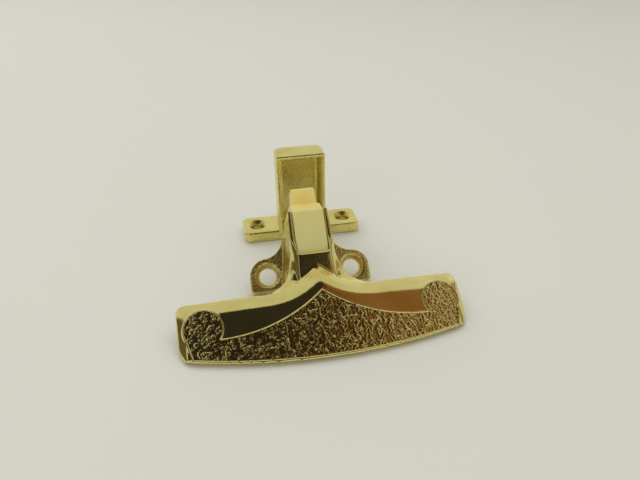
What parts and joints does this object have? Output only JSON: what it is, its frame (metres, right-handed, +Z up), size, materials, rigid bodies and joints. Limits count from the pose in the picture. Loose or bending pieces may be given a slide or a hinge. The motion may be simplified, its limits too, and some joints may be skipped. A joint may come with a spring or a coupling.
{
  "type": "toggle bolt latch",
  "caption": "Surface latch for a light door: wide hammered brass pull with a sprung nylon bolt, and the hooded strike it shoots into.",
  "frame": {"origin": "on the table, in the middle of the footprint of the two castings", "axes": "+Z up from the table, +X along the pull bar, +Y from the pull bar back to the strike; the latch rests leaning on its plate edge and its pull"},
  "size_m": [0.076, 0.071, 0.0291],
  "materials": {
    "polished_brass": "polished",
    "satin_brass": "satin",
    "nylon": "satin",
    "spring_steel": "satin",
    "cover_brass": "satin"
  },
  "bodies": {
    "latch": {"pull_handle_casting": "polished_brass", "bolt_spring": "spring_steel", "back_cover_plate": "cover_brass", "cover_rivet_left": "cover_brass", "cover_rivet_right": "cover_brass"},
    "bolt": {"nylon_bolt": "nylon"},
    "strike": {"strike": "satin_brass"}
  },
  "joints": [
    {"name": "bolt_slide", "type": "slide", "parent": "latch", "child": "bolt", "axis": [0, -0.6715, -0.741], "range_m": [0, 0.0058], "stiffness_N_per_m": 300, "springref_m": -0.004, "deforming": ["bolt_spring"]},
    {"name": "strike_lift_off", "type": "slide", "parent": "latch", "child": "strike", "axis": [0, 1, 0], "range_m": [0, 0.03]}
  ]
}
